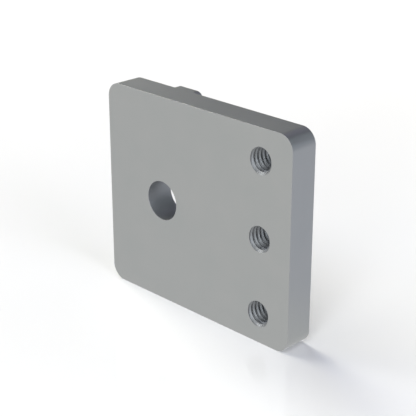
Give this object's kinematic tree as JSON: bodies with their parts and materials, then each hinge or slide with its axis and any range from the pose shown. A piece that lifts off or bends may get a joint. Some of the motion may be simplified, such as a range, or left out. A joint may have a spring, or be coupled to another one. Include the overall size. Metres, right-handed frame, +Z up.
{
  "type": "rack mounting plate",
  "caption": "Flat rectangular plate with rounded corners, a plain bolt hole, a row of tapped rack holes and low locating lugs on its back.",
  "frame": {"origin": "centre of the plain bolt hole in the plate's back face, at half the plate's height", "axes": "+Z up along the row of tapped holes; +X across the plate, from the bolt hole towards the tapped holes; +Y out of the back face, the way the lugs point"},
  "size_m": [0.0508, 0.0079, 0.0444],
  "materials": {
    "plate_aluminium": "bead-blasted and clear anodised, satin"
  },
  "bodies": {
    "root": {"mounting_plate": "plate_aluminium"}
  },
  "joints": []
}
